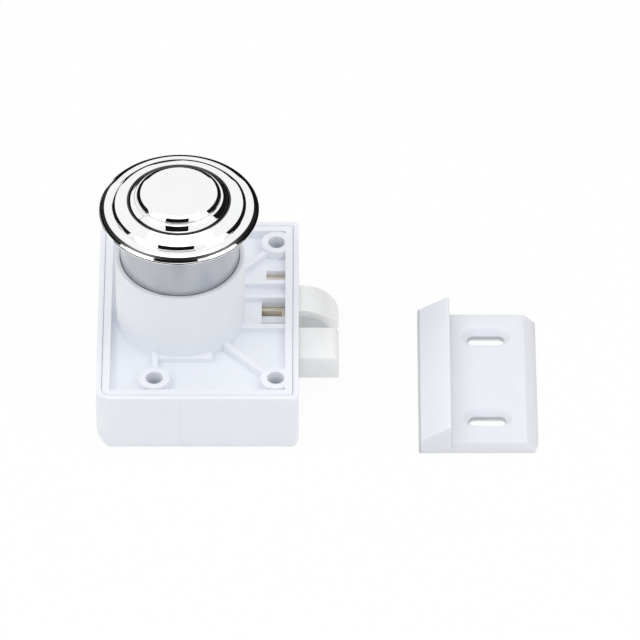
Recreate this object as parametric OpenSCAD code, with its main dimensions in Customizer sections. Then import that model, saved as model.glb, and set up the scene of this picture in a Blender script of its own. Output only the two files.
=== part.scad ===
// Push button cabinet lock with its strike, laid out as the set is shown.
// The button axis is the Z axis, and Z = 0 is the face that lies on the door's back.
// X points the way the bolt shoots, and Y runs along the lock's long side.

/* [Case] */
// Width of the case, along the way the bolt shoots
case_w = 40; // [38:0.5:48]
// Length of the case
case_l = 51; // [49:0.5:60]
// Depth of the case behind the door
case_h = 13.5; // [13.5:0.1:18]
// From the button axis to the plain long side
axis_inset = 16.5; // [16:0.1:18]
// Thickness of the case's walls
case_wall = 1.1; // [0.9:0.1:1.3]
// Thickness of the case's back
case_floor = 1.3; // [1:0.1:1.5]
// Corner radius on the plain long side
plain_corner = 3; // [1.5:0.1:4]
// Corner radius on the bolt side
bolt_corner = 1.2; // [1:0.1:2]
// Rounding of the back edge on the plain long side
plain_round = 4; // [1.5:0.1:4]
// Rounding of the back edge on the bolt side
back_round = 2.2; // [1.5:0.1:2.5]
// Rounding of the back edges on the short sides
end_round = 0.5; // [0.4:0.1:0.8]

/* [Tower plate] */
// Thickness of the tower plate's rim
rim_wall = 1.5; // [1.2:0.1:1.8]
// Depth of the tray between the rim and the web
tray_depth = 2; // [1.6:0.1:2.2]
// Thickness of the web
web_t = 1.5; // [1.2:0.1:1.6]
// Outer diameter of the tower
tower_d = 25.6; // [23:0.1:26]
// Wall of the tower
tower_wall = 0.9; // [0.7:0.1:1.1]
// Height of the tower above the door face, the thinnest door
tower_h = 15; // [14:0.5:18]
// Thickness of the tray's ribs
rib_t = 1.2; // [0.8:0.1:1.5]
// How far the ribs stay below the rim
rib_drop = 0.5; // [0.3:0.1:0.9]
// From the bolt side to the screw row next to it
screw_front = 4.5; // [4.3:0.1:6]
// From the short sides to the screws
screw_end = 6; // [5:0.1:7]
// From the button axis to the screw row on the plain side
screw_back = 5; // [4:0.5:6]
// Diameter of the mounting screws' holes
screw_hole_d = 3.4; // [3:0.1:3.6]
// Diameter of the mounting screws' bosses
boss_d = 6.2; // [5.6:0.1:6.4]
// Diameter of the countersink for a mounting screw's head
screw_sink_d = 5.8; // [4:0.1:6]

/* [Rosette] */
// Outer diameter of the rosette
rosette_d = 31.5; // [30:0.1:34]
// Height of the rosette's seat above the door face, the thickest door
rosette_z = 26.9; // [26:0.1:28]
// Thickness of the rosette's rim
rosette_rim = 1.4; // [1.2:0.1:2]
// Diameter of the rosette's raised ring
ring_d = 26.2; // [25:0.1:27]
// Height of the raised ring over the rim
ring_h = 0.9; // [0.4:0.1:1]
// Height of the cone from the raised ring to the button
ring_cone = 0.7; // [0.5:0.1:1.2]
// Width of the slope on the rim's edge
rim_slope = 0.95; // [0.6:0.05:1.2]
// Width of the slope on the raised ring's edge
ring_slope = 0.5; // [0.3:0.05:0.7]
// Length of the sleeve below the rosette
sleeve_l = 15.2; // [14.8:0.1:15.6]
// Wall of the sleeve
sleeve_wall = 1.4; // [1:0.1:1.6]
// Length of the rosette's spigot in the sleeve
spigot_l = 3; // [2:0.5:4]
// Wall of the spigot
spigot_wall = 0.5; // [0.4:0.1:0.6]

/* [Button] */
// Width of the step round the button's top disc
button_step = 1.65; // [1.2:0.05:2]
// How far the button's top disc is domed
button_dome = 0.3; // [0.1:0.05:0.5]
// Height of the button's top over the rosette
button_rise = 2.2; // [1.8:0.1:3]
// Length of the skirt below the button's shoulder
skirt_l = 13.4; // [12:0.1:14]
// Wall of the button's skirt
skirt_wall = 1.7; // [1.4:0.1:2.2]
// Diameter of the threaded stud that carries the button
stud_d = 4; // [3:0.5:5]
// Travel of the button from locked to open
button_travel = 8; // [6:0.5:8]
// Further press that frees the button
over_travel = 0.8; // [0.6:0.1:0.8]

/* [Deadbolt] */
// Width of the deadbolt
bolt_w = 8.8; // [8:0.1:9]
// Height of the deadbolt
bolt_h = 5.6; // [5:0.1:5.6]
// How far the deadbolt's nose stands out of the case
bolt_out = 8; // [7.5:0.1:9]
// Depth of the deadbolt's top below the door face
bolt_drop = 4.5; // [4.3:0.1:4.8]
// Side of the deadbolt nearest the catch, from the button axis
bolt_side = 0.5; // [0.4:0.1:0.8]
// Rounding of the deadbolt's nose
bolt_round = 1.4; // [0.8:0.1:2]
// Thickness of the deadbolt's cam arm
arm_t = 2.8; // [2.4:0.1:3]
// Diameter of the drive pin
pin_d = 1.8; // [1.5:0.1:2]

/* [Catch] */
// Width of the catch
catch_w = 7.4; // [6.8:0.1:7.6]
// Radius of the catch's round nose
catch_r = 7.5; // [7:0.1:7.6]
// Side of the catch nearest the deadbolt, from the button axis
catch_side = 3.4; // [3.2:0.1:3.6]
// How far the catch presses in
catch_travel = 7.5; // [6:0.5:7.5]
// Wall round the hollow in the catch's side
catch_wall = 1.6; // [1.2:0.1:2]
// Depth of the hollow in the catch's side
hollow_depth = 0.8; // [0.8:0.1:1.4]
// Outer diameter of the catch's spring
catch_spring_d = 4.2; // [3.8:0.1:4.4]

/* [Push mechanism] */
// Room round the plunger's head
plunger_gap = 0.6; // [0.3:0.1:0.8]
// Outer diameter of the return spring
return_spring_d = 6.2; // [5.8:0.1:6.4]
// Diameter of the spring wire
spring_wire = 0.6; // [0.5:0.05:0.7]
// Turns of the return spring
return_turns = 6; // [5:1:7]
// Turns of the catch's spring
catch_turns = 9; // [7:1:10]
// Diameter of the latch wire
latch_wire_d = 1; // [0.8:0.1:1.1]
// Thickness of the keeper leaf
keeper_t = 0.3; // [0.2:0.1:0.4]

/* [Strike] */
// Width of the strike
strike_w = 23.8; // [22:0.1:28]
// Length of the strike
strike_l = 37.3; // [34:0.1:42]
// Thickness of the strike's plate
strike_t = 2.4; // [2:0.1:3]
// Width of the strike's ramped lip
lip_w = 6.4; // [5:0.1:8]
// Height of the lip at its crest
lip_h = 7.2; // [6.8:0.1:8]
// Height of the lip at its low edge
lip_low = 3.6; // [3:0.1:4.5]
// Width of the flat on the lip's crest
lip_crest = 0.6; // [0.3:0.1:1]
// How far the strike's far side slopes out
side_bevel = 2.4; // [1:0.1:3]
// How far the near end of the strike's plate slopes out
end_bevel = 0.9; // [0.5:0.1:1.2]
// Cut across the strike's near outer corner
corner_cut = 0.8; // [0.5:0.1:1.2]
// Space between the strike's slots
slot_gap = 23; // [20:0.5:24]
// Length of a slot
slot_l = 7.3; // [6:0.1:8]
// Width of a slot
slot_w = 2.4; // [2:0.1:3]
// Margin of the countersink round a slot, and its depth
slot_sink = 1.3; // [0.8:0.1:1.5]
// Gap on the bench between the case and the strike
strike_apart = 23.8; // [12:0.1:30]
// How far the strike lies in front of the case
strike_ahead = 1.7; // [0:0.1:6]

/* [Fits] */
// Gap round a sliding piece
slide_gap = 0.2; // [0.15:0.01:0.25]
// Gap round a turned piece that slides in a bore
bore_gap = 0.1; // [0.06:0.01:0.12]
// Gap between the case and the tower plate, which shows as the seam
seam_gap = 0.1; // [0.1:0.01:0.2]
// Depth of the seam, below which the plate fits the case closely
seam_deep = 0.4; // [0.3:0.1:0.8]
// Gap of that close fit
plate_gap = 0.03; // [0.02:0.01:0.06]

/* [Hidden] */
$fn = 64;

// A cut runs this far past the face that it opens
past = 1;

// The case
case_x0 = -axis_inset;
case_x1 = case_w - axis_inset;
case_y1 = case_l / 2;
back_z = -case_h;
floor_z = back_z + case_floor;
inner_x1 = case_x1 - case_wall;
wall_round = 0.3;

// The tower plate
web_top = -tray_depth;
web_z = web_top - web_t;
rib_top = -rib_drop;
pocket_rib_top = rib_top - 0.3;
plate_inset = case_wall + seam_gap;
tray_inset = plate_inset + rim_wall;
tray_x1 = case_x1 - tray_inset;
tray_y1 = case_y1 - tray_inset;
tower_bore = tower_d - 2 * tower_wall;
screw_xs = [-screw_back, case_x1 - screw_front];
screw_ys = [screw_end - case_y1, case_y1 - screw_end];
foot_h = 1.2;
foot_out = 0.4;
// The openings beside the tower: their depth from the rim, and their two ends
bolt_window = [4.7, -3.3, 4.2];
catch_window = [3.8, 9.4, 13.2];
// How far the guide's ledge reaches past the catch's opening
ledge_margin = 0.6;
case_screw_d = 2.2;
case_screw_head = 4.2;
case_screw_sink = 1.1;
case_screw_l = 8;
case_boss_d = 4.4;
case_boss_split = web_z - 4.5;
case_screw_x = case_x0 + 4.3;
case_screw_y = case_y1 - 4.6;

// The rosette and the button
rim_top = rosette_z + rosette_rim;
ring_top = rim_top + ring_h;
shoulder_z = ring_top + ring_cone;
sleeve_d = tower_bore - 2 * bore_gap;
sleeve_bore = sleeve_d - 2 * sleeve_wall;
spigot_d = sleeve_bore;
rosette_bore = spigot_d - 2 * spigot_wall;
button_d = rosette_bore - 4 * bore_gap;
button_top_d = button_d - 2 * button_step;
sleeve_z = rosette_z - sleeve_l;
button_top = shoulder_z + button_rise;
skirt_z = shoulder_z - skirt_l;
core_gap = 0.1;
core_d = button_d - 2 * (skirt_wall + core_gap);
core_l = 6;
core_top = skirt_z + core_l;
plunger_d = rosette_bore - 2 * plunger_gap;
plunger_drop = 0.2;
stud_z = 7;
stud_grip = 3;
stud_top = core_top + stud_grip;

// The deadbolt and its 45 degree cam slot, which the drive pin follows
bolt_top = -bolt_drop;
bolt_z = bolt_top - bolt_h;
bolt_y1 = -bolt_side;
bolt_y0 = bolt_y1 - bolt_w;
bolt_tip = case_x1 + bolt_out;
bolt_heel = 12;
arm_y1 = bolt_y1 - 1.3;
arm_y0 = arm_y1 - arm_t;
arm_wall = 1.2;
slot_r = pin_d / 2 + bore_gap;
arm_r = slot_r + arm_wall;
arm_clear = 0.3;
pin_x = -1;
pin_z = floor_z + arm_clear + arm_r + over_travel;

// The catch
catch_top = web_z - slide_gap;
catch_z = catch_top - catch_r;
catch_y0 = catch_side;
catch_y1 = catch_side + catch_w;
catch_axis_x = case_x1 + 0.5;
catch_tip = catch_axis_x + catch_r;
catch_shank = 6.9;
catch_heel = inner_x1 - catch_shank;
lug_l = 2.2;
lug_w = 1.6;
catch_spring_wall = 1.5;
catch_spring_y = catch_y1 - catch_spring_d / 2 - catch_spring_wall;
catch_spring_z = (catch_top + catch_z) / 2;
catch_bore_gap = 0.2;
catch_bore_d = catch_spring_d + 2 * catch_bore_gap;
catch_bore_deep = 2.5;
catch_bore_x = catch_axis_x + catch_bore_deep;
seat_t = 1.4;
seat_gap = 0.4;
seat_x = catch_heel - catch_travel - seat_gap;
catch_corner = 4;

// The plunger: a fork over the cam arm, a spring well and a plate with the heart track
fork_z = 3;
leg_t = 2.3;
leg_w = 5;
leg_z = pin_z - 2.1;
well_x = -3;
well_y = 4.2;
well_gap = 0.3;
well_d = return_spring_d + 2 * well_gap;
well_wall = 1.1;
well_top = -1;
well_z = -9;
post_d = return_spring_d - 2 * spring_wire - 1.6;
post_top = floor_z + 7;
track_t = 2;
track_w = 6.4;
track_depth = 1.2;
track_margin = 0.6;
notch_z = -1.2;
wire_r = latch_wire_d / 2;
wire_room = 0.8;
wire_x = wire_room + wire_r - tower_bore / 2;
track_room = 0.9;
track_x = wire_x + wire_r + track_room;
wire_bend = 1;
wire_lift = 1.6;
wire_low = floor_z + wire_lift;
keeper_gap = 0.05;
keeper_x = wire_x - wire_r - keeper_gap;
pivot_post_w = 3.2;
pivot_post_l = 2.4;

// The strike lies on the same bench as the case
strike_x = case_x1 + strike_apart;
strike_y = -case_y1 - strike_ahead;
strike_z = back_z;
// Where the slots sit: the share of the plate's width, and how far past the middle of its length
slot_mid = 0.42;
slot_shift = 0.7;
slot_x = lip_w + (strike_w - lip_w) * slot_mid;

// A rectangle from corner to corner, with one radius on its low-x side and one on the other
module soft_rect(x0, y0, x1, y1, r0, r1) {
  polygon([
    [x0 + r0, y0], [x1 - r1, y0], [x1, y0 + r1], [x1, y1 - r1],
    [x1 - r1, y1], [x0 + r0, y1], [x0, y1 - r0], [x0, y0 + r0]
  ]);
  for (y = [y0 + r0, y1 - r0]) translate([x0 + r0, y]) circle(r0);
  for (y = [y0 + r1, y1 - r1]) translate([x1 - r1, y]) circle(r1);
}

// The case's outline in plan, drawn in by a margin
module case_outline(margin) {
  soft_rect(
    case_x0 + margin, -case_y1 + margin, case_x1 - margin, case_y1 - margin,
    max(plain_corner - margin, wall_round), max(bolt_corner - margin, wall_round)
  );
}

// A profile that is open at the top and has two rounded corners at the bottom
module cup_profile(x0, x1, z0, r0, r1) {
  difference() {
    soft_rect(x0, z0, x1, past + 2 * plain_round, r0, r1);
    translate([x0 - past, 0]) square([x1 - x0 + 2 * past, 4 * plain_round]);
  }
}

// The case's outside, or its inside when it is drawn in by a wall and a floor
module case_form(wall, floor) {
  r_plain = max(plain_round - wall, wall_round);
  r_back = max(back_round - wall, wall_round);
  r_end = max(end_round - wall, wall_round);
  z0 = back_z + floor;
  intersection() {
    translate([0, 0, z0]) linear_extrude(-z0) case_outline(wall);
    rotate([90, 0, 0]) translate([0, 0, -case_l]) linear_extrude(2 * case_l)
      cup_profile(case_x0 + wall, case_x1 - wall, z0, r_plain, r_back);
    rotate([90, 0, 90]) translate([0, 0, -case_w]) linear_extrude(3 * case_w)
      cup_profile(-case_y1 + wall, case_y1 - wall, z0, r_end, r_end);
  }
}

// A box from corner to corner
module block(low, high) {
  translate(low) cube(high - low);
}

// An upright cylinder between two heights
module post(d, z0, z1) {
  translate([0, 0, z0]) cylinder(d = d, h = z1 - z0);
}

// A tube along a helix about Z, with its wire inside the two heights
function helix_ring(i, d, wire, z0, rise, per_turn, sides) = [
  for (s = [0 : sides - 1])
    let (turn = 360 * i / per_turn, a = 360 * s / sides, r = d / 2 - wire / 2 + wire / 2 * cos(a))
    [r * cos(turn), r * sin(turn), z0 + rise * i / per_turn + wire / 2 * sin(a)]
];
module spring(d, wire, z0, z1, turns) {
  per_turn = 12;
  sides = 6;
  rings = turns * per_turn;
  rise = (z1 - z0 - wire) / turns;
  points = [
    for (i = [0 : rings]) each helix_ring(i, d, wire, z0 + wire / 2, rise, per_turn, sides)
  ];
  walls = [
    for (i = [0 : rings - 1], s = [0 : sides - 1])
      let (a = i * sides + s, b = i * sides + (s + 1) % sides)
      each [[a, b, a + sides], [b, b + sides, a + sides]]
  ];
  low_cap = [for (s = [1 : sides - 2]) [0, s + 1, s]];
  top = rings * sides;
  high_cap = [for (s = [1 : sides - 2]) [top, top + s, top + s + 1]];
  polyhedron(points, concat(walls, low_cap, high_cap));
}

// Puts its children at the four mounting screws
module at_screws() {
  for (x = screw_xs, y = screw_ys) translate([x, y, 0]) children();
}

// Puts its children at the two screws that close the case
module at_case_screws() {
  for (y = [-case_screw_y, case_screw_y]) translate([case_screw_x, y, 0]) children();
}

// The windows that the bolt and the catch come out of
module bolt_windows() {
  x0 = inner_x1 - past;
  x1 = case_x1 + past;
  block([x0, bolt_y0 - slide_gap, bolt_z - slide_gap], [x1, bolt_y1 + slide_gap, bolt_top + slide_gap]);
  block(
    [x0, catch_y0 - slide_gap, catch_z - slide_gap],
    [x1, catch_y1 + slide_gap, catch_top + slide_gap / 2]
  );
}

// Guides for the bolt and the catch, with the seat of the catch's spring
module case_guides() {
  x0 = bolt_heel + 1;
  low = floor_z - case_floor / 2;
  high = web_z;
  block([x0, bolt_y0 - slide_gap - rib_t, low], [inner_x1 + past / 2, bolt_y0 - slide_gap, high]);
  block([x0, bolt_y1 + slide_gap, low], [inner_x1 + past / 2, catch_y0 - lug_w - slide_gap, high]);
  block([x0, catch_y1 + slide_gap, low], [inner_x1 + past / 2, catch_y1 + slide_gap + rib_t, high]);
  block(
    [x0, bolt_y0 - slide_gap - rib_t, low],
    [inner_x1 + past / 2, bolt_y1 + slide_gap + 1, bolt_z - slide_gap]
  );
  block(
    [x0, catch_y0 - lug_w - 1, low],
    [inner_x1 + past / 2, catch_y1 + slide_gap + 1, catch_z - slide_gap]
  );
  block([x0, catch_y1 + slide_gap, low], [inner_x1 + past / 2, catch_window[2] + ledge_margin, web_z]);
  block([seat_x - seat_t, catch_y0, low], [seat_x, catch_y1, catch_top - slide_gap]);
}

module case() {
  color("whitesmoke") difference() {
    union() {
      difference() {
        case_form(0, 0);
        case_form(case_wall, case_floor);
        translate([0, 0, web_z]) linear_extrude(past - web_z) case_outline(case_wall);
      }
      intersection() {
        case_form(case_wall / 2, case_floor / 2);
        union() {
          case_guides();
          at_screws() post(boss_d, floor_z - case_floor / 2, web_z);
          at_case_screws() post(case_boss_d, floor_z - case_floor / 2, case_boss_split);
          translate([well_x, well_y, 0]) post(post_d, floor_z - case_floor / 2, post_top);
          block(
            [keeper_x - keeper_t - pivot_post_l, -pivot_post_w / 2, floor_z - case_floor / 2],
            [keeper_x - keeper_t, pivot_post_w / 2, web_z]
          );
        }
      }
    }
    bolt_windows();
    at_screws() {
      post(screw_hole_d, back_z - past, past);
      translate([0, 0, back_z]) cylinder(
        d1 = screw_sink_d, d2 = screw_hole_d, h = (screw_sink_d - screw_hole_d) / 2
      );
    }
    at_case_screws() {
      post(case_screw_d + 0.3, back_z - past, past);
      translate([0, 0, back_z]) cylinder(
        d1 = case_screw_head + 0.3, d2 = case_screw_d + 0.3, h = case_screw_sink + 0.1
      );
    }
    translate([keeper_x, 0, wire_low]) rotate([0, -90, 0])
      cylinder(d = latch_wire_d + 0.1, h = keeper_t + pivot_post_l - 0.4);
  }
}

// A rib of the tray between two points
module rib(from, to, top) {
  run = to - from;
  translate([from.x, from.y, web_z]) rotate([0, 0, atan2(run.y, run.x)])
    translate([0, -rib_t / 2, 0]) cube([norm(run), rib_t, top - web_z]);
}

// Openings in the web beside the tower, over the catch and the bolt
module web_windows() {
  x1 = tray_x1;
  for (w = [bolt_window, catch_window]) block([x1 - w[0], w[1], web_z - past], [x1, w[2], past]);
}

module tower_plate() {
  color("white") difference() {
    union() {
      difference() {
        union() {
          translate([0, 0, web_z]) linear_extrude(-web_z) case_outline(plate_inset);
          translate([0, 0, web_z]) linear_extrude(-web_z - seam_deep) case_outline(case_wall + plate_gap);
        }
        translate([0, 0, web_top]) linear_extrude(past - web_top) case_outline(tray_inset);
        web_windows();
      }
      intersection() {
        union() {
          at_screws() post(boss_d, web_z, 0);
          for (y = screw_ys) {
            rib([screw_xs[0], y], [screw_xs[0], 0], rib_top);
            rib([screw_xs[1], y], [0, 0], rib_top);
          }
          for (y = [bolt_window[1] - rib_t / 2, bolt_window[2] + rib_t / 2, catch_window[1] - rib_t / 2])
            rib([0, y], [tray_x1 + rim_wall / 2, y], pocket_rib_top);
        }
        translate([0, 0, web_z]) linear_extrude(-web_z) case_outline(plate_inset);
      }
      post(tower_d, web_z, tower_h);
      block([screw_xs[0], -tower_d / 2 - foot_out, web_z], [tower_d / 4, 0, web_top + foot_h]);
      at_case_screws() post(case_boss_d, case_boss_split, web_top);
    }
    post(tower_bore, web_z - past, tower_h + past);
    at_screws() post(screw_hole_d, web_z - past, past);
    at_case_screws() post(case_screw_d, case_boss_split - past, back_z + case_screw_l + 0.3);
  }
}

module case_screws() {
  slot = 0.6;
  color("silver") at_case_screws() difference() {
    union() {
      translate([0, 0, back_z + 0.1])
        cylinder(d1 = case_screw_head, d2 = case_screw_d, h = case_screw_sink);
      post(case_screw_d, back_z + 0.1, back_z + case_screw_l);
    }
    for (turn = [0, 90]) rotate([0, 0, turn])
      translate([-case_screw_d / 2, -slot / 2, back_z]) cube([case_screw_d, slot, slot]);
  }
}

// Half of a turned step: everything inside a radius up to a height, with a rounded shoulder
module turned_step(r, z0, z1, round) {
  translate([0, z0]) square([r - round, z1 - z0]);
  translate([0, z0]) square([r, z1 - z0 - round]);
  translate([r - round, z1 - round]) circle(round);
}

// Half of a turned disc: its top edge slopes by about 35 degrees, then by about 70, and its foot is broken
module sloped_disc(r, z0, z1, slope) {
  fall = slope * 0.55;
  foot = slope * 0.25;
  polygon([
    [0, z0], [r - foot, z0], [r, z0 + foot], [r, z1 - 2 * fall],
    [r - slope * 0.2, z1 - fall], [r - slope, z1], [0, z1]
  ]);
}

module rosette_ring() {
  r_ring = ring_d / 2;
  color("silver") rotate_extrude() difference() {
    union() {
      sloped_disc(rosette_d / 2, rosette_z, rim_top, rim_slope);
      sloped_disc(r_ring, rosette_z, ring_top, ring_slope);
      polygon([
        [0, rosette_z], [r_ring - ring_slope, rosette_z], [r_ring - ring_slope, ring_top],
        [rosette_bore / 2, shoulder_z], [0, shoulder_z]
      ]);
      translate([0, rosette_z - spigot_l]) square([spigot_d / 2, spigot_l]);
    }
    translate([-past, rosette_z - spigot_l - past])
      square([rosette_bore / 2 + past, shoulder_z - rosette_z + spigot_l + 2 * past]);
  }
}

module rosette_sleeve() {
  color("darkgray") difference() {
    post(sleeve_d, sleeve_z, rosette_z);
    post(sleeve_bore, rosette_z - spigot_l - past / 2, rosette_z + past);
    post(sleeve_bore, sleeve_z - past, rosette_z);
  }
}

module button_cap() {
  round = 0.6;
  r_top = button_top_d / 2;
  r_skirt = button_d / 2;
  z_step = shoulder_z + button_rise * 0.45;
  dome_r = (r_top ^ 2 + button_dome ^ 2) / (2 * button_dome);
  color("silver") rotate_extrude() difference() {
    union() {
      translate([0, skirt_z]) square([r_skirt, shoulder_z - skirt_z]);
      polygon([[0, shoulder_z], [r_skirt, shoulder_z], [r_top + round, z_step], [0, z_step]]);
      intersection() {
        turned_step(r_top, z_step, button_top + round, round);
        translate([0, button_top - dome_r]) circle(dome_r, $fn = 400);
      }
    }
    translate([-past, skirt_z - past])
      square([core_d / 2 + core_gap + past, core_top + core_gap - skirt_z + past]);
    translate([-past, skirt_z]) square([stud_d / 2 + past, stud_top + core_gap - skirt_z]);
  }
}

module button_stud() {
  color("gainsboro") post(stud_d, stud_z, stud_top);
}

// The heart track: a pocket with an island, whose notch holds the wire while the button is in
module heart_track() {
  z_top = notch_z + over_travel + wire_r + 0.2;
  z_low = notch_z - button_travel - wire_r - 0.2;
  half = track_w / 2 - track_margin;
  island = half - latch_wire_d - 0.3;
  difference() {
    block([track_x - past, -half, z_low], [track_x + track_depth, half, z_top]);
    translate([track_x - 2 * past, 0, notch_z]) rotate([90, 0, 90]) linear_extrude(track_t + 2 * past)
      polygon([
        [0, -wire_r * 1.5], [island, -wire_r * 0.6], [island, -button_travel * 0.3],
        [0, -button_travel * 0.78], [-island, -button_travel * 0.3], [-island, -wire_r * 0.6]
      ]);
  }
}

module plunger() {
  leg_x0 = pin_x - leg_w / 2;
  leg_x1 = pin_x + leg_w / 2;
  leg_ys = [arm_y0 - arm_clear - leg_t, arm_y1 + arm_clear];
  color("ivory") difference() {
    union() {
      post(plunger_d, fork_z, skirt_z - plunger_drop);
      post(core_d, fork_z, core_top);
      for (y = leg_ys) block([leg_x0, y, leg_z], [leg_x1, y + leg_t, fork_z + past]);
      translate([well_x, well_y, 0]) post(well_d + 2 * well_wall, well_z, fork_z + past);
      block([track_x, -track_w / 2, leg_z], [track_x + track_t, track_w / 2, fork_z + past]);
      block([track_x + track_t / 2, leg_ys[1], leg_z], [leg_x0 + past, leg_ys[1] + leg_t, fork_z + past]);
    }
    translate([well_x, well_y, 0]) post(well_d, well_z - past, well_top);
    translate([pin_x, leg_ys[0] - past, pin_z]) rotate([-90, 0, 0])
      cylinder(d = pin_d, h = leg_ys[1] + leg_t - leg_ys[0] + 2 * past);
    post(stud_d, stud_z, core_top + past);
    heart_track();
  }
}

module drive_pin() {
  y0 = arm_y0 - arm_clear - leg_t;
  y1 = arm_y1 + arm_clear + leg_t;
  color("gainsboro") translate([pin_x, y0, pin_z]) rotate([-90, 0, 0]) cylinder(d = pin_d, h = y1 - y0);
}

module return_spring() {
  color("gainsboro") translate([well_x, well_y, 0])
    spring(return_spring_d, spring_wire, floor_z, well_top, return_turns);
}

// A bent wire: it turns in the pivot post and its tip rides in the heart track
module latch_wire() {
  tip_x = track_x + track_depth - 0.2;
  foot_x = keeper_x - keeper_t - pivot_post_l + 0.6;
  color("silver") {
    translate([wire_x, 0, 0]) post(latch_wire_d, wire_low + wire_bend, notch_z - wire_bend);
    translate([wire_x + wire_bend, 0, notch_z - wire_bend]) rotate([90, 0, 0])
      rotate_extrude(angle = 90, start = 90) translate([wire_bend, 0]) circle(wire_r);
    translate([wire_x + wire_bend, 0, notch_z]) rotate([0, 90, 0])
      cylinder(r = wire_r, h = tip_x - wire_x - wire_bend);
    translate([wire_x - wire_bend, 0, wire_low + wire_bend]) rotate([90, 0, 0])
      rotate_extrude(angle = 90, start = 270) translate([wire_bend, 0]) circle(wire_r);
    translate([foot_x, 0, wire_low]) rotate([0, 90, 0]) cylinder(r = wire_r, h = wire_x - wire_bend - foot_x);
  }
}

module keeper_leaf() {
  color("gainsboro") difference() {
    block([keeper_x - keeper_t, -pivot_post_w / 2, floor_z], [keeper_x, pivot_post_w / 2, web_z]);
    translate([keeper_x + past, 0, wire_low]) rotate([0, -90, 0])
      cylinder(d = latch_wire_d + 0.7, h = keeper_t + 2 * past);
  }
}

// The bolt's cam arm seen from the side, with the slot that the drive pin pushes along
module arm_profile() {
  path = [[pin_x - over_travel, pin_z - over_travel], [pin_x + button_travel, pin_z + button_travel]];
  length = norm(path[1] - path[0]);
  difference() {
    union() {
      for (p = path) translate(p) circle(arm_r);
      translate(path[0]) rotate(45) translate([0, -arm_r]) square([length, 2 * arm_r]);
      translate([pin_x, bolt_z]) square([bolt_heel + past - pin_x, bolt_h]);
    }
    for (p = path) translate(p) circle(slot_r);
    translate(path[0]) rotate(45) translate([0, -slot_r]) square([length, 2 * slot_r]);
  }
}

module deadbolt() {
  color("white") {
    translate([0, bolt_y1, 0]) rotate([90, 0, 0]) linear_extrude(bolt_w) difference() {
      union() {
        translate([bolt_heel, bolt_z]) square([bolt_tip - bolt_round - bolt_heel, bolt_h]);
        translate([bolt_heel, bolt_z]) square([bolt_tip - bolt_heel, bolt_h - bolt_round]);
        translate([bolt_tip - bolt_round, bolt_top - bolt_round]) circle(bolt_round);
      }
    }
    translate([0, arm_y1, 0]) rotate([90, 0, 0]) linear_extrude(arm_t) arm_profile();
  }
}

// The catch seen from the side: a straight shank and a quarter-round nose
module catch_profile(margin) {
  translate([catch_heel, catch_z + margin]) square([catch_axis_x - catch_heel, catch_r - 2 * margin]);
  intersection() {
    translate([catch_axis_x, catch_z]) circle(catch_r - margin);
    translate([catch_axis_x - past, catch_z + margin]) square(2 * catch_r);
  }
}

module catch() {
  color("white") difference() {
    union() {
      intersection() {
        translate([0, catch_y1, 0]) rotate([90, 0, 0]) linear_extrude(catch_w) catch_profile(0);
        translate([0, 0, catch_z - past]) linear_extrude(catch_r + 2 * past) difference() {
          translate([catch_heel, catch_y0]) square([catch_tip - catch_heel, catch_w]);
          translate([catch_tip - catch_corner, catch_y0]) difference() {
            translate([0, -past]) square([catch_corner + past, catch_corner + past]);
            translate([0, catch_corner]) circle(catch_corner);
          }
        }
      }
      block(
        [inner_x1 - 0.1 - lug_l, catch_y0 - lug_w, catch_z],
        [inner_x1 - 0.1, catch_y0 + past, catch_top]
      );
    }
    intersection() {
      translate([0, catch_y0 + hollow_depth, 0]) rotate([90, 0, 0]) linear_extrude(hollow_depth + past)
        catch_profile(catch_wall);
      block([case_x1 + 0.6, catch_y0 - past, catch_z], [catch_tip, catch_y1, catch_top]);
    }
    translate([catch_heel - past, catch_spring_y, catch_spring_z]) rotate([0, 90, 0])
      cylinder(d = catch_bore_d, h = catch_bore_x - catch_heel + past);
  }
}

module catch_spring() {
  color("gainsboro") translate([0, catch_spring_y, catch_spring_z]) rotate([0, 90, 0])
    spring(catch_spring_d, spring_wire, seat_x, catch_bore_x, catch_turns);
}

// A slot across the strike, and its countersink up to a height
module countersunk_slot(top) {
  reach = (slot_l - slot_w) / 2;
  wide = slot_w / 2 + slot_sink;
  for (side = [-1, 1]) translate([side * reach, 0, 0]) {
    post(slot_w, -past, top + past);
    translate([0, 0, top - slot_sink]) cylinder(d1 = slot_w, d2 = 2 * wide, h = slot_sink);
    post(2 * wide, top, top + past);
  }
  translate([-reach, 0, 0]) rotate([90, 0, 90]) linear_extrude(2 * reach) polygon([
    [-slot_w / 2, -past], [slot_w / 2, -past], [slot_w / 2, top - slot_sink], [wide, top],
    [wide, top + past], [-wide, top + past], [-wide, top], [-slot_w / 2, top - slot_sink]
  ]);
}

// The strike's plate, which slopes out at its far side and at its near end
module strike_plate() {
  intersection() {
    translate([0, strike_l, 0]) rotate([90, 0, 0]) linear_extrude(strike_l) polygon([
      [0, 0], [strike_w, 0], [strike_w - side_bevel, strike_t], [0, strike_t]
    ]);
    linear_extrude(strike_t) polygon([
      [0, 0], [strike_w - corner_cut, 0], [strike_w, 3 * corner_cut], [strike_w, strike_l], [0, strike_l]
    ]);
    rotate([90, 0, 90]) linear_extrude(strike_w) polygon([
      [0, 0], [strike_l, 0], [strike_l, strike_t], [end_bevel, strike_t]
    ]);
  }
}

module strike() {
  color("white") translate([strike_x, strike_y, strike_z]) difference() {
    union() {
      strike_plate();
      translate([0, strike_l, 0]) rotate([90, 0, 0]) linear_extrude(strike_l) polygon([
        [0, 0], [lip_w, 0], [lip_w, lip_h], [lip_w - lip_crest, lip_h], [0, lip_low]
      ]);
    }
    for (side = [-1, 1])
      translate([slot_x, strike_l / 2 + slot_shift + side * slot_gap / 2, 0]) countersunk_slot(strike_t);
  }
}

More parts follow.
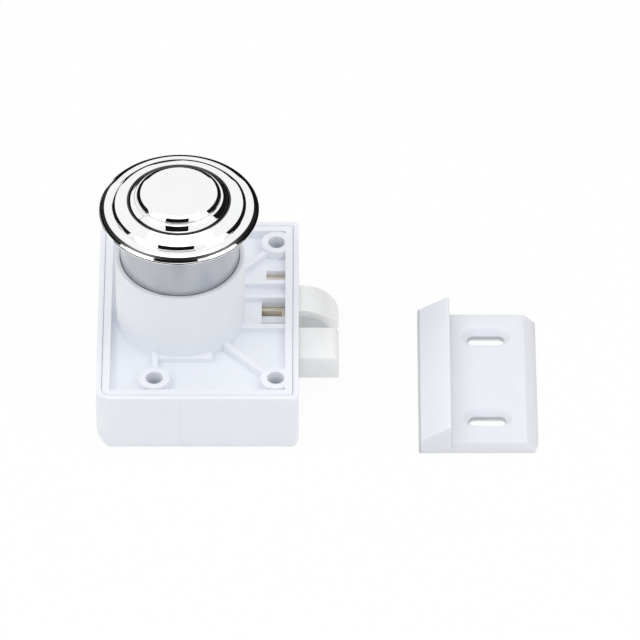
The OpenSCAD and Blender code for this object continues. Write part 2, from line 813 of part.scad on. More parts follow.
case();
tower_plate();
case_screws();
rosette_ring();
rosette_sleeve();
button_cap();
button_stud();
plunger();
drive_pin();
return_spring();
latch_wire();
keeper_leaf();
deadbolt();
catch();
catch_spring();
strike();
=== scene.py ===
"""The looks of a push button cabinet lock and its strike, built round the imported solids."""

import math

import bmesh
import bpy
from bpy.props import FloatProperty, FloatVectorProperty, IntProperty, PointerProperty
from mathutils import Matrix, Quaternion, Vector


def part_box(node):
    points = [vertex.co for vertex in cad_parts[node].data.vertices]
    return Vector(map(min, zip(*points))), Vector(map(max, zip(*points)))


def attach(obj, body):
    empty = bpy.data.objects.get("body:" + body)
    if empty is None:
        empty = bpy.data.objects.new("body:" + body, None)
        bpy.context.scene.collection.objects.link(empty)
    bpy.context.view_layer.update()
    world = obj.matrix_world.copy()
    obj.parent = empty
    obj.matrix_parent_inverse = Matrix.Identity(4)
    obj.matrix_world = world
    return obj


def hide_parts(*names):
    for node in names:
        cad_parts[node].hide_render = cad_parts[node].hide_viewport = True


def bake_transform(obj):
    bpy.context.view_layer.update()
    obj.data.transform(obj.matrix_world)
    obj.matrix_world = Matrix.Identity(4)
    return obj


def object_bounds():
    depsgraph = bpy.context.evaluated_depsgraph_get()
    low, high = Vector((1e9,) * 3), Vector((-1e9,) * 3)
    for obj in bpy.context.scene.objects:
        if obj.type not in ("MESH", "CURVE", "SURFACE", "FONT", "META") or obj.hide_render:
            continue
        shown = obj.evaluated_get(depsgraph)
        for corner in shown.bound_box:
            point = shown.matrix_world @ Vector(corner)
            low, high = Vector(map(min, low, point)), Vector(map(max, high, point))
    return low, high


bl_info = {
    "name": "Push Button Cabinet Lock",
    "version": (1, 0, 0),
    "blender": (4, 5, 0),
    "location": "View3D > Sidebar > Lock",
    "description": "Dresses the lock's solids with moulded plastic, chrome and a white studio",
    "category": "Object",
}

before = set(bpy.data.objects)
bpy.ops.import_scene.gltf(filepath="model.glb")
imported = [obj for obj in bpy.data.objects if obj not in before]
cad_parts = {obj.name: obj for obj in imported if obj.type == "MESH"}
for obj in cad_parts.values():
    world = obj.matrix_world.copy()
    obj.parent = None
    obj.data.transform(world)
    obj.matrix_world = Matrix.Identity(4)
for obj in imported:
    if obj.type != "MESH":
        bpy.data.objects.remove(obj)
CAD_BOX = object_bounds()
MM = 0.001
FULL_TURN = 2 * math.pi
QUARTER_TURN = math.pi / 2
Z_AXIS = Vector((0, 0, 1))

# Places of the marks, in millimetres. A pair named FADE, COMES or GOES runs from where the
# change starts to where it is complete. Any other pair holds a mark's two limits.
SEAM_X = 0.2
SEAM_FADE = (0.05, 0.4)
FRONT_FADE = (0.1, 0.4)
GUIDE_Y = (8.8, 13.8)
GUIDE_COMES_X = (14, 18)
GUIDE_GOES_X = (21.6, 21.9)
GUIDE_GOES_Z = (-3.4, -2.8)
# Where the darker, yellower tint on the bolts ends.
BOLT_POCKET_TINT_GOES_X = (20.5, 22.5)
# Where shade is painted round the walls of the strike's slots.
SLOT_MIDDLE_X = 61.008
SLOT_MIDDLE_Y = -7.85
SLOT_HALF_SPACING = 11.5
SLOT_HALF_WIDTH_FADE = (1.3, 1.5)
SLOT_HALF_LENGTH_FADE = (3.8, 4.0)
SLOT_WALL_HEIGHT = (0.4, 1.3)
# Painted shade along the strike's outer edge.
STRIKE_EDGE_SHADE_FADE = (0.25, 0.6)
# Dark rings painted on the rosette: painted shade in the gap round the button's bore, and a painted
# dark reflection in the fine corner of the rim.
ROSETTE_PAINTED_DARK_RINGS = ((9.8, 10.32), (14.7, 15.28))

# How the meshes are made.
WELD_GAP = 1e-7
SOLID_WELD_GAP = 2e-6
SCREW_WELD_GAP = 1e-6
FLAT_ANGLE = math.radians(0.5)
SMOOTH_ANGLE = math.radians(40)
COIL_SMOOTH_ANGLE = math.radians(50)
CORNER_STEPS = 8
WIRE_SIDES = 12

# Sizes that two pieces share.
SPIGOT_R = 10.4 * MM
SPRING_WIRE = 0.6 * MM

# The stage.
FLOOR_R = 0.16
FLOOR_GAP = 0.02 * MM
FLOOR_WHITE_SHARE = 0.94
CARD_GAP = 0.1 * MM
SENSOR_WIDTH = 36.0

# Sockets of a Mix node that mixes colours.
MIX_START = 6
MIX_END = 7
MIX_RESULT = 2


class LockSizes(bpy.types.PropertyGroup):
    """Sizes of what the looks add to the solids."""

    edge_round: FloatProperty(
        name="Edge rounding",
        description="Radius on the edges of the moulded pieces",
        default=0.22 * MM,
        unit="LENGTH",
    )
    edge_steps: IntProperty(
        name="Edge steps",
        description="Faces across a rounded edge",
        default=2,
    )
    sharp_angle: FloatProperty(
        name="Sharp angle",
        description="Edges that turn further than this are rounded",
        default=math.radians(32),
        subtype="ANGLE",
    )
    turned_steps: IntProperty(
        name="Turned steps",
        description="Steps round a turned piece",
        default=192,
    )
    coil_steps: IntProperty(
        name="Coil steps",
        description="Steps in one turn of a spring",
        default=32,
    )


class LockColours(bpy.types.PropertyGroup):
    """Colours of the lock's finishes."""

    nylon: FloatVectorProperty(
        name="Nylon",
        description="Moulded nylon of the case and the tower plate",
        default=(0.87, 0.895, 0.955),
        subtype="COLOR",
    )
    strike_nylon: FloatVectorProperty(
        name="Strike nylon",
        description="Moulded nylon of the strike",
        default=(0.81, 0.825, 0.88),
        subtype="COLOR",
    )
    acetal: FloatVectorProperty(
        name="Acetal",
        description="Moulded acetal of the deadbolt and the catch",
        default=(0.885, 0.89, 0.89),
        subtype="COLOR",
    )
    core: FloatVectorProperty(
        name="Core",
        description="Natural acetal of the plunger",
        default=(0.78, 0.73, 0.6),
        subtype="COLOR",
    )
    # A darker, yellower tint for what lies down the case's windows.
    pocket_tint: FloatVectorProperty(
        name="Grease",
        description="Tint of the greased part of the bolts",
        default=(0.8, 0.7, 0.52),
        subtype="COLOR",
    )
    chrome: FloatVectorProperty(
        name="Chrome",
        description="Polished plate of the rosette and the button",
        default=(0.93, 0.935, 0.94),
        subtype="COLOR",
    )
    satin: FloatVectorProperty(
        name="Satin plate",
        description="Satin plate of the rosette's sleeve",
        default=(0.5, 0.515, 0.55),
        subtype="COLOR",
    )
    steel: FloatVectorProperty(
        name="Steel",
        description="Bright steel of the pins, screws and springs",
        default=(0.6, 0.6, 0.61),
        subtype="COLOR",
    )


class LockStage(bpy.types.PropertyGroup):
    """The camera and the light."""

    elevation: FloatProperty(
        name="Elevation",
        description="Height of the camera above the horizon",
        default=math.radians(43.93),
        subtype="ANGLE",
    )
    azimuth: FloatProperty(
        name="Azimuth",
        description="Turn of the camera round the lock",
        default=0.0,
        subtype="ANGLE",
    )
    roll: FloatProperty(
        name="Roll",
        description="Tilt of the camera about its own axis",
        default=0.0,
        subtype="ANGLE",
    )
    aim: FloatVectorProperty(
        name="Aim",
        description="Point in the middle of the picture",
        default=(27.74 * MM, -3.1 * MM, 0),
        subtype="TRANSLATION",
    )
    distance: FloatProperty(
        name="Distance",
        description="From the camera to the aim",
        default=1.5,
        unit="LENGTH",
    )
    lens: FloatProperty(
        name="Lens",
        description="Focal length in millimetres on a 36 mm sensor",
        default=424.0,
    )
    ambient: FloatProperty(
        name="Ambient",
        description="Strength of the light from all round",
        default=0.7,
    )


def sizes():
    return bpy.context.scene.lock_sizes


def colours():
    return bpy.context.scene.lock_colours


def studio():
    return bpy.context.scene.lock_stage


class Wire:
    """A node's output that takes part in Python arithmetic by adding Math nodes."""

    def __init__(self, nodes, socket):
        self.nodes = nodes
        self.socket = socket

    def math(self, operation, *items):
        return self.nodes.add("ShaderNodeMath", {"operation": operation}, dict(enumerate(items)))

    def __add__(self, other):
        return self.math("ADD", self, other)

    def __sub__(self, other):
        return self.math("SUBTRACT", self, other)

    def __rsub__(self, other):
        return self.math("SUBTRACT", other, self)

    def __mul__(self, other):
        return self.math("MULTIPLY", self, other)

    def __truediv__(self, other):
        return self.math("DIVIDE", self, other)

    def __abs__(self):
        return self.math("ABSOLUTE", self)

    def larger(self, other):
        return self.math("MAXIMUM", self, other)

    def root(self):
        return self.math("SQRT", self)

    __radd__ = __add__
    __rmul__ = __mul__


class Nodes:
    """A shader tree that is built one node at a time."""

    def __init__(self, owner):
        owner.use_nodes = True
        self.tree = owner.node_tree
        self.tree.nodes.clear()

    def add(self, kind, settings=None, inputs=None, output=0):
        """Adds a node, sets it up, feeds its sockets and gives one of its outputs."""
        node = self.tree.nodes.new(kind)
        for key, value in (settings or {}).items():
            setattr(node, key, value)
        for key, value in (inputs or {}).items():
            if isinstance(value, Wire):
                self.tree.links.new(value.socket, node.inputs[key])
            else:
                node.inputs[key].default_value = value
        return Wire(self, node.outputs[output]) if node.outputs else None

    def here(self):
        return self.add("ShaderNodeTexCoord", output="Object")

    def along(self, axis):
        """The place along one axis of the shared frame, in millimetres."""
        return self.add("ShaderNodeSeparateXYZ", {}, {"Vector": self.here()}, output=axis) / MM

    def from_axis(self):
        """The distance from the button's axis, in millimetres."""
        x, y = self.along("X"), self.along("Y")
        return (x * x + y * y).root()

    def noise(self, scale, detail=2.0, stretch=None):
        """Cloudy values from 0 to 1, with an optional stretch along each axis."""
        place = self.here()
        if stretch:
            mapped = {"Vector": place, "Scale": stretch}
            place = self.add("ShaderNodeMapping", {"vector_type": "POINT"}, mapped)
        inputs = {"Vector": place, "Scale": scale, "Detail": detail}
        return self.add("ShaderNodeTexNoise", {}, inputs)

    def tint(self, share, start, end):
        """A colour between two, by a share from 0 to 1. Each is a wire or three numbers."""
        first, last = (
            colour if isinstance(colour, Wire) else (*colour, 1.0) for colour in (start, end)
        )
        return self.add(
            "ShaderNodeMix",
            {"data_type": "RGBA"},
            {"Factor": share, MIX_START: first, MIX_END: last},
            output=MIX_RESULT,
        )

    def step(self, value, low, high):
        """Rises smoothly from 0 to 1 while the value goes from low to high."""
        return self.add(
            "ShaderNodeMapRange",
            {"interpolation_type": "SMOOTHSTEP"},
            {"Value": value, "From Min": low, "From Max": high},
        )

    def fade(self, value, low, high):
        """Falls smoothly from 1 to 0 while the value goes from low to high."""
        return 1 - self.step(value, low, high)

    def band(self, value, low, high, soft):
        """1 between low and high, with soft edges inside them, and 0 elsewhere."""
        return self.step(value, low, low + soft) * self.fade(value, high - soft, high)

    def bump(self, height, strength, depth):
        inputs = {"Height": height, "Strength": strength, "Distance": depth}
        return self.add("ShaderNodeBump", {}, inputs)

    def finish(self, surface):
        self.add("ShaderNodeOutputMaterial", {}, {"Surface": surface})

    def principled(self, inputs):
        """Ends a material's tree with a Principled shader."""
        self.finish(self.add("ShaderNodeBsdfPrincipled", {}, inputs))


def new_finish(name):
    made = bpy.data.materials.new(name)
    return made, Nodes(made)


def shade(colour, factor):
    return tuple(channel * factor for channel in colour)


def moulded_plastic(name, colour, roughness, translucency, marks=None):
    """Moulded plastic: cloudy colour, a fine spark-eroded grain and softly varied gloss."""
    made, nodes = new_finish(name)
    cloud = nodes.noise(90, 3.0)
    grain = nodes.noise(5200, 1.0)
    base = nodes.tint(cloud * 0.7 + grain * 0.3, shade(colour, 0.965), shade(colour, 1.02))
    if marks:
        base = marks(nodes, base)
    nodes.principled(
        {
            "Base Color": base,
            "Roughness": roughness + cloud * 0.1 + grain * 0.05,
            "Normal": nodes.bump(grain, 0.16, 0.02 * MM),
            "Subsurface Weight": translucency,
            "Subsurface Radius": (1.0, 1.0, 1.0),
            "Subsurface Scale": 1.2 * MM,
            "IOR": 1.5,
        }
    )
    return made


def case_marks(nodes, base):
    """The thin line where the mould's halves met in front, and a darker, yellower tint on the
    catch's guide down its window.
    """
    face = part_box("case")[0].y / MM
    seam = nodes.fade(abs(nodes.along("X") - SEAM_X), *SEAM_FADE)
    front = nodes.fade(nodes.along("Y") - face, *FRONT_FADE)
    base = nodes.tint(seam * front * 0.3, base, shade(colours().nylon, 0.9))
    # A darker, yellower tint on the catch's guide, down the window.
    guide = nodes.band(nodes.along("Y"), *GUIDE_Y, soft=0.6)
    guide = guide * nodes.step(nodes.along("X"), *GUIDE_COMES_X)
    guide = guide * nodes.fade(nodes.along("X"), *GUIDE_GOES_X)
    guide = guide * nodes.fade(nodes.along("Z"), *GUIDE_GOES_Z)
    return nodes.tint(guide * 0.6, base, colours().pocket_tint)


def strike_painted_shade(nodes, base):
    """Painted shade along the strike's outer edge, which faces the case, and round the walls of its
    slots.
    """
    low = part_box("strike")[0] / MM
    nylon = colours().strike_nylon
    # Painted shade: the outer edge darkened where the case shades it.
    edge = nodes.fade(nodes.along("X") - low.x, *STRIKE_EDGE_SHADE_FADE)
    base = nodes.tint(edge * 0.8, base, shade(nylon, 0.62))
    # Painted shade down the walls of the two slots, where the plate's own depth shades them.
    across = abs(abs(nodes.along("Y") - SLOT_MIDDLE_Y) - SLOT_HALF_SPACING)
    slot_wall_shade = nodes.fade(across, *SLOT_HALF_WIDTH_FADE)
    slot_wall_shade = slot_wall_shade * nodes.fade(abs(nodes.along("X") - SLOT_MIDDLE_X), *SLOT_HALF_LENGTH_FADE)
    slot_wall_shade = slot_wall_shade * nodes.band(nodes.along("Z") - low.z, *SLOT_WALL_HEIGHT, soft=0.3)
    return nodes.tint(slot_wall_shade * 0.7, base, shade(nylon, 0.5))


def bolt_pocket_tint(nodes, base):
    """A darker, yellower tint on the part of a bolt that stays in the case."""
    inside = nodes.fade(nodes.along("X"), *BOLT_POCKET_TINT_GOES_X)
    return nodes.tint(inside * 0.8, base, colours().pocket_tint)


def polished_chrome(name, painted_dark_rings=()):
    """Polished plate: a mirror with a trace of orange peel, and any dark rings painted on it, which
    stand in for shade and dark reflections.
    """
    made, nodes = new_finish(name)
    colour = colours().chrome
    smear = nodes.noise(140, 3.0)
    peel = nodes.noise(700, 1.0)
    base = nodes.tint(smear, shade(colour, 0.97), colour)
    roughness = 0.02 + smear * 0.03
    # Painted shade and painted dark reflections, laid on the plate as dark, duller rings.
    for inner, outer in painted_dark_rings:
        painted_dark = nodes.band(nodes.from_axis(), inner, outer, soft=0.1)
        base = nodes.tint(painted_dark * 0.95, base, shade(colour, 0.03))
        roughness = roughness + painted_dark * 0.2
    nodes.principled(
        {
            "Base Color": base,
            "Metallic": 1.0,
            "Roughness": roughness,
            "Normal": nodes.bump(peel, 0.05, 0.01 * MM),
        }
    )
    return made


def satin_plate():
    """Satin plate, drawn along the sleeve, so that its streaks run up and down."""
    made, nodes = new_finish("satin_plate")
    colour = colours().satin
    streak = nodes.noise(900, stretch=(1.0, 1.0, 0.03))
    broad = nodes.noise(150, stretch=(1.0, 1.0, 0.05))
    nodes.principled(
        {
            "Base Color": nodes.tint(broad, shade(colour, 0.9), shade(colour, 1.1)),
            "Metallic": 1.0,
            "Roughness": 0.2 + broad * 0.08 + streak * 0.08,
            "Normal": nodes.bump(streak, 0.08, 0.01 * MM),
        }
    )
    return made


def bright_steel(name, brightness):
    """Drawn or turned steel under a thin plate."""
    made, nodes = new_finish(name)
    colour = shade(colours().steel, brightness)
    drawn = nodes.noise(1600)
    cloud = nodes.noise(300)
    nodes.principled(
        {
            "Base Color": nodes.tint(cloud, shade(colour, 0.85), shade(colour, 1.1)),
            "Metallic": 1.0,
            "Roughness": 0.25 + drawn * 0.2,
            "Normal": nodes.bump(drawn, 0.1, 0.01 * MM),
        }
    )
    return made


def dress(piece, finish):
    piece.data.materials.clear()
    piece.data.materials.append(finish)


def smooth(mesh, angle):
    mesh.polygons.foreach_set("use_smooth", [True] * len(mesh.polygons))
    mesh.set_sharp_from_angle(angle=angle)


def to_piece(bm, name, angle=SMOOTH_ANGLE):
    """Makes a bmesh an object of the scene, with its faces turned outwards."""
    bmesh.ops.remove_doubles(bm, verts=bm.verts, dist=WELD_GAP)
    bmesh.ops.recalc_face_normals(bm, faces=bm.faces)
    mesh = bpy.data.meshes.new(name)
    bm.to_mesh(mesh)
    bm.free()
    smooth(mesh, angle)
    piece = bpy.data.objects.new(name, mesh)
    bpy.context.scene.collection.objects.link(piece)
    return piece


def stand_for(piece, body, node):
    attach(piece, body)
    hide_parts(node)


def welded_copy(node, gap):
    """A copy of a solid, whose loose triangles are joined where they meet."""
    bm = bmesh.new()
    bm.from_mesh(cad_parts[node].data)
    bmesh.ops.remove_doubles(bm, verts=bm.verts, dist=gap)
    return bm


def moulded_copy(node, body):
    """A copy of a moulded solid whose edges have the small radius that a mould leaves."""
    bm = welded_copy(node, SOLID_WELD_GAP)
    bmesh.ops.dissolve_limit(bm, angle_limit=FLAT_ANGLE, verts=bm.verts, edges=bm.edges)
    limit = sizes().sharp_angle
    edges = [e for e in bm.edges if e.is_manifold and e.calc_face_angle() > limit]
    bmesh.ops.bevel(
        bm,
        geom=edges,
        offset=sizes().edge_round,
        affect="EDGES",
        segments=sizes().edge_steps,
        profile=0.5,
        material=-1,
        clamp_overlap=True,
    )
    piece = to_piece(bm, "moulded_" + node)
    stand_for(piece, body, node)
    return piece


def turned(name, corners):
    """Turns a closed outline about Z. A corner is its radius, its height and its rounding."""
    bm = bmesh.new()
    verts = [bm.verts.new((radius, 0, height)) for radius, height, _ in corners]
    for here, there in zip(verts, verts[1:] + verts[:1]):
        bm.edges.new((here, there))
    for vert, (_, _, rounding) in zip(verts, corners):
        if rounding:
            bmesh.ops.bevel(
                bm,
                geom=[vert],
                offset=rounding,
                affect="VERTICES",
                segments=CORNER_STEPS,
                profile=0.5,
                material=-1,
            )
    bmesh.ops.spin(
        bm,
        geom=bm.verts[:] + bm.edges[:],
        cent=(0, 0, 0),
        axis=Z_AXIS,
        angle=FULL_TURN,
        steps=sizes().turned_steps,
        use_merge=True,
    )
    return to_piece(bm, name)


def coil(name, outer, length, turns):
    """A spring that stands on the origin along Z."""
    wire_r = SPRING_WIRE / 2
    steps = turns * sizes().coil_steps
    start = Matrix.Translation((outer / 2 - wire_r, 0, wire_r))
    across = Matrix.Rotation(QUARTER_TURN, 4, "X")
    bm = bmesh.new()
    bmesh.ops.create_circle(bm, segments=WIRE_SIDES, radius=wire_r, matrix=start @ across)
    bmesh.ops.spin(
        bm,
        geom=bm.verts[:] + bm.edges[:],
        cent=(0, 0, 0),
        axis=Z_AXIS,
        dvec=(0, 0, (length - SPRING_WIRE) / steps),
        angle=FULL_TURN * turns,
        steps=steps,
    )
    bmesh.ops.holes_fill(bm, edges=bm.edges, sides=0)
    return to_piece(bm, name, COIL_SMOOTH_ANGLE)


class LOCK_OT_shells(bpy.types.Operator):
    """Moulded case and tower plate"""

    bl_idname = "lock.shells"
    bl_label = "Case and tower plate"

    def execute(self, context):
        nylon = moulded_plastic(
            "white_nylon",
            colours().nylon,
            roughness=0.36,
            translucency=0.3,
            marks=case_marks,
        )
        for node in ("case", "tower_plate"):
            dress(moulded_copy(node, "lock_body"), nylon)
        return {"FINISHED"}


class LOCK_OT_strike(bpy.types.Operator):
    """Moulded strike plate"""

    bl_idname = "lock.strike"
    bl_label = "Strike"

    def execute(self, context):
        nylon = moulded_plastic(
            "strike_nylon",
            colours().strike_nylon,
            roughness=0.34,
            translucency=0.4,
            marks=strike_painted_shade,
        )
        dress(moulded_copy("strike", "lock_body"), nylon)
        return {"FINISHED"}


class LOCK_OT_bolts(bpy.types.Operator):
    """Deadbolt and spring catch"""

    bl_idname = "lock.bolts"
    bl_label = "Deadbolt and catch"

    def execute(self, context):
        acetal = moulded_plastic(
            "white_acetal",
            colours().acetal,
            roughness=0.28,
            translucency=0.4,
            marks=bolt_pocket_tint,
        )
        for node in ("deadbolt", "catch"):
            dress(moulded_copy(node, node), acetal)
        return {"FINISHED"}


class LOCK_OT_chrome(bpy.types.Operator):
    """Chromed rosette and button"""

    bl_idname = "lock.chrome"
    bl_label = "Rosette and button"

    def execute(self, context):
        dress(self.rosette(), polished_chrome("rosette_chrome", ROSETTE_PAINTED_DARK_RINGS))
        dress(self.button(), polished_chrome("button_chrome"))
        return {"FINISHED"}

    def rosette(self):
        low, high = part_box("rosette_ring")
        spigot = 3.0 * MM
        seat = low.z + spigot
        rim = seat + 1.4 * MM
        ring = rim + 0.9 * MM
        r_rim = high.x
        r_ring = 13.1 * MM
        r_bore = 9.9 * MM
        piece = turned(
            "turned_rosette",
            [
                (r_bore, low.z, 0.1 * MM),
                (r_bore, high.z, 0.25 * MM),
                # Facets down from the ring to the rim.
                (r_ring - 0.95 * MM, ring, 0.06 * MM),
                (r_ring - 0.5 * MM, ring - 0.18 * MM, 0.05 * MM),
                (r_ring + 0.12 * MM, ring - 0.66 * MM, 0.05 * MM),
                (r_ring + 0.16 * MM, rim, 0.0),
                # Facets round the rim's edge.
                (r_rim - 1.5 * MM, rim, 0.06 * MM),
                (r_rim - 1.0 * MM, rim - 0.2 * MM, 0.05 * MM),
                (r_rim - 0.1 * MM, rim - 0.86 * MM, 0.05 * MM),
                (r_rim, rim - 1.08 * MM, 0.05 * MM),
                (r_rim, seat, 0.3 * MM),
                (SPIGOT_R, seat, 0.1 * MM),
                (SPIGOT_R, low.z, 0.1 * MM),
            ],
        )
        stand_for(piece, "rosette", "rosette_ring")
        return piece

    def button(self):
        low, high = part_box("button_cap")
        rise = 2.2 * MM
        shoulder = high.z - rise
        step = shoulder + 0.45 * rise
        r_skirt = high.x
        r_top = 8.05 * MM
        r_core = 8.0 * MM
        r_stud = 2.0 * MM
        core = low.z + 6.1 * MM
        stud = core + 3.0 * MM
        piece = turned(
            "turned_button",
            [
                (0.0, stud, 0.0),
                (r_stud, stud, 0.0),
                (r_stud, core, 0.0),
                (r_core, core, 0.0),
                (r_core, low.z, 0.1 * MM),
                (r_skirt, low.z, 0.2 * MM),
                (r_skirt, shoulder, 0.3 * MM),
                (r_top + 0.6 * MM, step, 0.2 * MM),
                (r_top + 0.22 * MM, step, 0.1 * MM),
                # Facets round the top's edge.
                (r_top + 0.2 * MM, high.z - 0.86 * MM, 0.06 * MM),
                (r_top - 0.5 * MM, high.z - 0.36 * MM, 0.06 * MM),
                (r_top - 1.0 * MM, high.z - 0.16 * MM, 0.05 * MM),
                (0.0, high.z, 0.0),
            ],
        )
        stand_for(piece, "button", "button_cap")
        return piece


class LOCK_OT_sleeve(bpy.types.Operator):
    """Satin sleeve under the rosette"""

    bl_idname = "lock.sleeve"
    bl_label = "Sleeve"

    def execute(self, context):
        low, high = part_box("rosette_sleeve")
        edge = 0.25 * MM
        piece = turned(
            "turned_sleeve",
            [
                (SPIGOT_R, low.z, edge),
                (SPIGOT_R, high.z, 0.0),
                (high.x, high.z, 0.0),
                (high.x, low.z, edge),
            ],
        )
        stand_for(piece, "rosette", "rosette_sleeve")
        dress(piece, satin_plate())
        return {"FINISHED"}


class LOCK_OT_core(bpy.types.Operator):
    """Moulded plunger under the button"""

    bl_idname = "lock.core"
    bl_label = "Plunger"

    def execute(self, context):
        acetal = moulded_plastic(
            "natural_acetal",
            colours().core,
            roughness=0.32,
            translucency=0.1,
        )
        dress(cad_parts["plunger"], acetal)
        return {"FINISHED"}


class LOCK_OT_steel(bpy.types.Operator):
    """Pins, screws, wire and springs"""

    bl_idname = "lock.steel"
    bl_label = "Steel pieces"

    def execute(self, context):
        steel = bright_steel("bright_steel", 1.0)
        for node in ("button_stud", "drive_pin"):
            dress(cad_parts[node], steel)
        dress(self.case_screws(), steel)
        spring = bright_steel("spring_steel", 0.8)
        for node in ("latch_wire", "keeper_leaf"):
            dress(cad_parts[node], spring)
        for piece in (self.return_spring(), self.catch_spring()):
            dress(piece, spring)
        return {"FINISHED"}

    def case_screws(self):
        """The case screws, their heads trimmed and sunk to stay inside the case's rounded edge."""
        trim = 0.75
        sink = 0.15 * MM
        low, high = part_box("case_screws")
        head_r = (high.x - low.x) / 2
        head_from, head_to = 0.55 * head_r, 1.01 * head_r
        head_top = low.z + 1.3 * MM
        end_top = low.z + 0.05 * MM
        middle = (low + high) / 2
        apart = (high.y - low.y) / 2 - head_r
        bm = welded_copy("case_screws", SCREW_WELD_GAP)
        for side in (-1, 1):
            centre = Vector((middle.x, middle.y + side * apart, 0))
            low_verts = [v for v in bm.verts if v.co.z < head_top]
            head = [v for v in low_verts if head_from < (v.co - centre).xy.length < head_to]
            about = Matrix.Translation(-centre)
            bmesh.ops.scale(bm, verts=head, vec=(trim, trim, 1), space=about)
        ends = [v for v in bm.verts if v.co.z < end_top]
        bmesh.ops.translate(bm, verts=ends, vec=(0, 0, sink))
        piece = to_piece(bm, "trimmed_case_screws")
        stand_for(piece, "lock_body", "case_screws")
        return piece

    def return_spring(self):
        low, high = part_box("return_spring")
        piece = coil("coiled_return_spring", high.x - low.x, high.z - low.z, turns=6)
        middle = (low + high) / 2
        foot = Vector((middle.x, middle.y, low.z))
        piece.data.transform(Matrix.Translation(foot))
        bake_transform(piece)
        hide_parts("return_spring")
        return piece

    def catch_spring(self):
        low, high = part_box("catch_spring")
        piece = coil("coiled_catch_spring", high.z - low.z, high.x - low.x, turns=9)
        middle = (low + high) / 2
        foot = Vector((low.x, middle.y, middle.z))
        piece.data.transform(Matrix.Translation(foot) @ Matrix.Rotation(QUARTER_TURN, 4, "Y"))
        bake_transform(piece)
        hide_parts("catch_spring")
        return piece


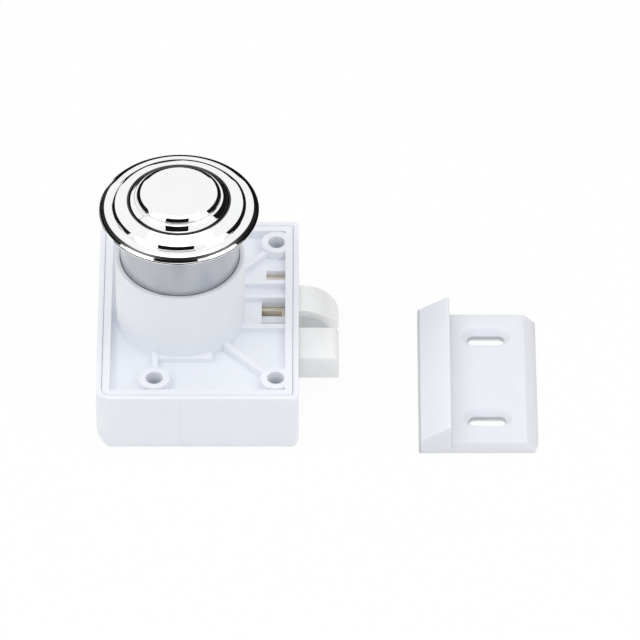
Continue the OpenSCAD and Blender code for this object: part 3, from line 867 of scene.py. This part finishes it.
class LOCK_OT_stage(bpy.types.Operator):
    """Floor, light, dark cards and camera"""

    bl_idname = "lock.stage"
    bl_label = "Stage"

    def execute(self, context):
        self.world(context)
        self.floor()
        self.cards()
        self.lamps(context)
        self.camera(context)
        context.scene.view_settings.view_transform = "Standard"
        return {"FINISHED"}

    @staticmethod
    def plain_rays(nodes):
        """1 for rays that show the white background, and 0 for those that light the object."""
        camera, glossy, transmission = (
            nodes.add("ShaderNodeLightPath", output=f"Is {kind} Ray")
            for kind in ("Camera", "Glossy", "Transmission")
        )
        return camera.larger(glossy).larger(transmission)

    def world(self, context):
        world = bpy.data.worlds.new("white_studio")
        context.scene.world = world
        nodes = Nodes(world)
        shown = self.plain_rays(nodes)
        ambient = studio().ambient
        strength = ambient + shown * (1 - ambient)
        white = {"Color": (1, 1, 1, 1), "Strength": strength}
        light = nodes.add("ShaderNodeBackground", {}, white)
        nodes.add("ShaderNodeOutputWorld", {}, {"Surface": light})

    def floor(self):
        low, high = CAD_BOX
        bm = bmesh.new()
        bmesh.ops.create_circle(bm, cap_ends=True, segments=96, radius=FLOOR_R)
        centre = ((low + high) / 2).xy
        bmesh.ops.translate(bm, verts=bm.verts, vec=(*centre, low.z - FLOOR_GAP))
        piece = to_piece(bm, "floor")
        made, nodes = new_finish("white_floor")
        white = nodes.add("ShaderNodeEmission", {}, {"Color": (1, 1, 1, 1), "Strength": 1.0})
        paper = nodes.add("ShaderNodeBsdfDiffuse", {}, {"Color": (0.9, 0.9, 0.9, 1)})
        shown = self.plain_rays(nodes) * FLOOR_WHITE_SHARE
        nodes.finish(nodes.add("ShaderNodeMixShader", {}, {0: shown, 1: paper, 2: white}))
        piece.data.materials.append(made)

    def cards(self):
        """Dark cards that only the polished pieces show."""
        made, nodes = new_finish("dark_card")
        nodes.finish(nodes.add("ShaderNodeBsdfDiffuse", {}, {"Color": (0.01, 0.01, 0.012, 1)}))
        for piece in (self.ring_card(), self.lens_card(), self.floor_cards()):
            piece.data.materials.append(made)
            for rays in ("camera", "diffuse", "shadow", "transmission", "volume_scatter"):
                setattr(piece, "visible_" + rays, False)

    def ring_card(self):
        """A dark ring: low in front, dipped behind the lock, and open below on the left behind.

        Heights are shares of the ring's radius.
        """
        radius = 0.45
        foot_height = -0.45
        front_height = 0.17
        dip_height, dip_slope = 0.2, 0.3
        horn_from = 0.7
        left_horn, right_horn = 0.45, 0.6
        strip_height = 0.24
        open_slope, open_to = 0.6, 0.69
        bm = bmesh.new()
        bmesh.ops.create_circle(bm, segments=180, radius=radius)
        bmesh.ops.translate(bm, verts=bm.verts, vec=(0, 0, foot_height * radius))
        foot = bm.verts[:]
        made = bmesh.ops.extrude_edge_only(bm, edges=bm.edges[:])
        top = [item for item in made["geom"] if isinstance(item, bmesh.types.BMVert)]
        for vert in foot + top:
            side = abs(vert.co.x / radius)
            horn = right_horn if vert.co.x > 0 else left_horn
            horn = horn * max((side - horn_from) / (1 - horn_from), 0) ** 2
            behind = dip_height + dip_slope * side + horn
            if vert in top:
                vert.co.z = radius * (behind if vert.co.y > 0 else front_height)
            elif vert.co.y > 0 and vert.co.x < 0:
                opening = open_slope * max(open_to - side, 0)
                vert.co.z = radius * (behind - strip_height - opening)
        return to_piece(bm, "ring_card")

    def lens_card(self):
        """A dark strip high in front, where the lens is."""
        radius = 0.5
        half = 0.17
        shift = -0.03
        start = math.radians(46)
        arc = math.radians(24)
        bm = bmesh.new()
        ends = [
            bm.verts.new(
                (side * half + shift, -radius * math.cos(start), radius * math.sin(start))
            )
            for side in (-1, 1)
        ]
        edge = bm.edges.new(ends)
        bmesh.ops.spin(
            bm,
            geom=[*ends, edge],
            cent=(0, 0, 0),
            axis=(-1, 0, 0),
            angle=arc,
            steps=24,
        )
        return to_piece(bm, "lens_card")

    def floor_cards(self):
        """A dark strip on the floor under the lens, and a dark sheet on it behind the lock."""
        strip = (-0.106, 0.026, 0.1)
        sheet = (0.116, 0.4, 0.14)
        height = CAD_BOX[0].z + CARD_GAP
        bm = bmesh.new()
        for middle, wide, deep in (strip, sheet):
            made = bmesh.ops.create_grid(bm, x_segments=1, y_segments=1, size=0.5)
            bmesh.ops.scale(bm, verts=made["verts"], vec=(wide, deep, 1))
            bmesh.ops.translate(bm, verts=made["verts"], vec=(0, middle, height))
        return to_piece(bm, "floor_cards")

    def lamps(self, context):
        for name, place, size, power in (
            ("key_lamp", (-0.4, -0.16, 0.6), 0.35, 0.91),
            ("front_lamp", (0.05, -0.45, 0.4), 0.3, 0.17),
            ("top_lamp", (0.0, 0.12, 0.75), 0.5, 0.7),
            ("fill_lamp", (0.4, -0.1, 0.6), 0.35, 0.62),
        ):
            lamp = bpy.data.lights.new(name, "AREA")
            lamp.shape = "DISK"
            lamp.size = size
            lamp.energy = power
            item = bpy.data.objects.new(name, lamp)
            item.location = place
            item.rotation_mode = "QUATERNION"
            item.rotation_quaternion = Vector(place).to_track_quat("Z", "Y")
            context.scene.collection.objects.link(item)

    def camera(self, context):
        stage = studio()
        data = bpy.data.cameras.new("camera")
        data.sensor_width = SENSOR_WIDTH
        data.lens = stage.lens
        data.clip_end = 10.0
        item = bpy.data.objects.new("camera", data)
        level = math.cos(stage.elevation)
        turn = stage.azimuth
        back = Vector((level * math.sin(turn), -level * math.cos(turn), math.sin(stage.elevation)))
        item.location = Vector(stage.aim) + back * stage.distance
        item.rotation_mode = "QUATERNION"
        item.rotation_quaternion = back.to_track_quat("Z", "Y") @ Quaternion(Z_AXIS, stage.roll)
        context.scene.collection.objects.link(item)
        context.scene.camera = item


OPERATORS = (
    LOCK_OT_stage,
    LOCK_OT_shells,
    LOCK_OT_strike,
    LOCK_OT_bolts,
    LOCK_OT_chrome,
    LOCK_OT_sleeve,
    LOCK_OT_core,
    LOCK_OT_steel,
)


class LOCK_PT_panel(bpy.types.Panel):
    """Lists the lock's pieces and settings"""

    bl_idname = "LOCK_PT_panel"
    bl_label = "Push button lock"
    bl_space_type = "VIEW_3D"
    bl_region_type = "UI"
    bl_category = "Lock"

    def draw(self, context):
        for group_name in GROUPS:
            group = getattr(context.scene, group_name)
            box = self.layout.box()
            for name in group.__annotations__:
                box.prop(group, name)
        for operator in OPERATORS:
            self.layout.operator(operator.bl_idname)


GROUPS = {"lock_sizes": LockSizes, "lock_colours": LockColours, "lock_stage": LockStage}
CLASSES = (*GROUPS.values(), *OPERATORS, LOCK_PT_panel)


def register():
    for cls in CLASSES:
        bpy.utils.register_class(cls)
    for name, group in GROUPS.items():
        setattr(bpy.types.Scene, name, PointerProperty(type=group))


def unregister():
    for name in GROUPS:
        delattr(bpy.types.Scene, name)
    for cls in reversed(CLASSES):
        bpy.utils.unregister_class(cls)


def main():
    register()
    bpy.ops.lock.stage()
    bpy.ops.lock.shells()
    bpy.ops.lock.strike()
    bpy.ops.lock.bolts()
    bpy.ops.lock.chrome()
    bpy.ops.lock.sleeve()
    bpy.ops.lock.core()
    bpy.ops.lock.steel()


if __name__ == "__main__":
    main()
